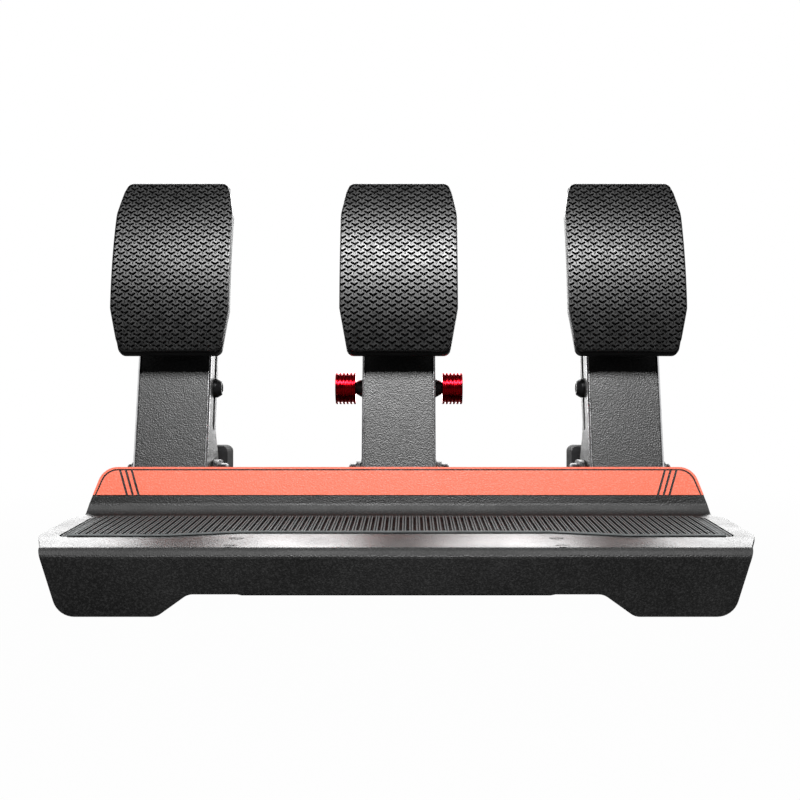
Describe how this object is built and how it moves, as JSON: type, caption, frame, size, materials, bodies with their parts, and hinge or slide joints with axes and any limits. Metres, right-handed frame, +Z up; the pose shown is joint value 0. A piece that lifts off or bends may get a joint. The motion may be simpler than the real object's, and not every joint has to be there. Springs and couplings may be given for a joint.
{
  "type": "sim racing pedal set",
  "caption": "Floor pedal set for a driving simulator: sprung throttle and clutch, stiff brake, curved treaded pads, bent heel plate with ribbed mat and coloured riser on a base plate.",
  "frame": {"origin": "on the floor, at the middle of the footprint", "axes": "+X to the driver's right across the pedals, +Y away from the driver, +Z up"},
  "size_m": [0.427, 0.33, 0.2771],
  "materials": {
    "powder_coat": "fine black powder coat, satin",
    "heel_coat": "fine black powder coat, satin",
    "accent_paint": "satin orange red paint",
    "mat_rubber": "ribbed grey-black rubber",
    "tread_rubber": "moulded black rubber",
    "foot_rubber": "plain black rubber",
    "pad_alloy": "dark anodised plate",
    "cast_alloy": "dark anodised, machined",
    "dark_steel": "black oxide",
    "bright_steel": "ground steel",
    "spring_steel": "drawn spring wire",
    "bronze": "sintered bronze",
    "red_anodised": "glossy red anodised, turned",
    "elastomer": "cast polyurethane",
    "housing_plastic": "fine textured moulding"
  },
  "bodies": {
    "base": {"base_plate": "powder_coat", "base_feet": "foot_rubber", "heel_plate": "heel_coat", "mat_tray": "powder_coat", "heel_mat": "mat_rubber", "heel_posts": "cast_alloy", "heel_screws": "dark_steel", "riser_brackets": "powder_coat", "accent_band": "accent_paint", "base_bolts": "dark_steel", "controller_housing": "housing_plastic", "controller_lid": "housing_plastic", "cable_socket": "bright_steel", "clutch_bracket": "powder_coat", "clutch_pivot_shaft": "dark_steel", "clutch_tower": "powder_coat", "clutch_sensor_housing": "housing_plastic", "brake_bracket": "powder_coat", "brake_pivot_shaft": "dark_steel", "brake_tower": "powder_coat", "throttle_bracket": "powder_coat", "throttle_pivot_shaft": "dark_steel", "throttle_tower": "powder_coat", "throttle_sensor_housing": "housing_plastic"},
    "clutch_pedal": {"clutch_arm": "powder_coat", "clutch_pivot_bush": "bronze", "clutch_cross_pin": "dark_steel", "clutch_pad_mount": "cast_alloy", "clutch_pad_plate": "pad_alloy", "clutch_pad_grip": "tread_rubber", "clutch_pad_bolts": "dark_steel"},
    "clutch_strut": {"clutch_strut_rod": "bright_steel", "clutch_strut_nut": "dark_steel"},
    "clutch_guide": {"clutch_trunnion": "cast_alloy", "clutch_spring": "spring_steel"},
    "brake_pedal": {"brake_arm": "powder_coat", "brake_pivot_bush": "bronze", "brake_cross_pin": "dark_steel", "brake_pad_mount": "cast_alloy", "brake_pad_plate": "pad_alloy", "brake_pad_grip": "tread_rubber", "brake_pad_bolts": "dark_steel"},
    "brake_strut": {"brake_strut_rod": "bright_steel", "brake_strut_nut": "dark_steel"},
    "brake_guide": {"brake_trunnion": "cast_alloy", "brake_bumper": "elastomer", "brake_load_cell": "bright_steel"},
    "throttle_pedal": {"throttle_arm": "powder_coat", "throttle_pivot_bush": "bronze", "throttle_cross_pin": "dark_steel", "throttle_pad_mount": "cast_alloy", "throttle_pad_plate": "pad_alloy", "throttle_pad_grip": "tread_rubber", "throttle_pad_bolts": "dark_steel"},
    "throttle_strut": {"throttle_strut_rod": "bright_steel", "throttle_strut_nut": "dark_steel"},
    "throttle_guide": {"throttle_trunnion": "cast_alloy", "throttle_spring": "spring_steel"},
    "brake_knob_left": {"brake_knob_left": "red_anodised"},
    "brake_knob_right": {"brake_knob_right": "red_anodised"}
  },
  "joints": [
    {"name": "clutch_press", "type": "hinge", "parent": "base", "child": "clutch_pedal", "pos_m": [-0.159, 0.023, 0.066], "axis": [-1, 0, 0], "range_deg": [0, 18], "stiffness_Nm_per_rad": 18, "springref_deg": -9.74, "deforming": ["clutch_spring"]},
    {"name": "clutch_strut_turn", "type": "hinge", "parent": "clutch_pedal", "child": "clutch_strut", "pos_m": [-0.159, 0.02478, 0.12973], "axis": [-1, 0, 0], "range_deg": [-16.2, 0]},
    {"name": "clutch_guide_turn", "type": "hinge", "parent": "base", "child": "clutch_guide", "pos_m": [-0.166, 0.123, 0.1], "axis": [-1, 0, 0], "range_deg": [0, 1.8]},
    {"name": "brake_press", "type": "hinge", "parent": "base", "child": "brake_pedal", "pos_m": [0, 0.023, 0.066], "axis": [-1, 0, 0], "range_deg": [0, 9], "stiffness_Nm_per_rad": 350, "springref_deg": -0.69, "deforming": ["brake_bumper"]},
    {"name": "brake_strut_turn", "type": "hinge", "parent": "brake_pedal", "child": "brake_strut", "pos_m": [0, 0.02478, 0.12973], "axis": [-1, 0, 0], "range_deg": [-7.79, 0]},
    {"name": "brake_guide_turn", "type": "hinge", "parent": "base", "child": "brake_guide", "pos_m": [0, 0.123, 0.1], "axis": [-1, 0, 0], "range_deg": [0, 1.22]},
    {"name": "throttle_press", "type": "hinge", "parent": "base", "child": "throttle_pedal", "pos_m": [0.159, 0.023, 0.066], "axis": [-1, 0, 0], "range_deg": [0, 18], "stiffness_Nm_per_rad": 10, "springref_deg": -12.61, "deforming": ["throttle_spring"]},
    {"name": "throttle_strut_turn", "type": "hinge", "parent": "throttle_pedal", "child": "throttle_strut", "pos_m": [0.159, 0.02478, 0.12973], "axis": [-1, 0, 0], "range_deg": [-16.2, 0]},
    {"name": "throttle_guide_turn", "type": "hinge", "parent": "base", "child": "throttle_guide", "pos_m": [0.166, 0.123, 0.1], "axis": [-1, 0, 0], "range_deg": [0, 1.8]},
    {"name": "brake_knob_left_spin", "type": "hinge", "parent": "brake_pedal", "child": "brake_knob_left", "pos_m": [0, 0.02478, 0.12973], "axis": [1, 0, 0], "continuous": true},
    {"name": "brake_knob_right_spin", "type": "hinge", "parent": "brake_pedal", "child": "brake_knob_right", "pos_m": [0, 0.02478, 0.12973], "axis": [1, 0, 0], "continuous": true}
  ],
  "couplings": [
    {"joint": "clutch_strut_turn", "follows": "clutch_press", "ratio": -0.9},
    {"joint": "clutch_guide_turn", "follows": "clutch_press", "ratio": 0.1},
    {"joint": "brake_strut_turn", "follows": "brake_press", "ratio": -0.865},
    {"joint": "brake_guide_turn", "follows": "brake_press", "ratio": 0.135},
    {"joint": "throttle_strut_turn", "follows": "throttle_press", "ratio": -0.9},
    {"joint": "throttle_guide_turn", "follows": "throttle_press", "ratio": 0.1}
  ]
}
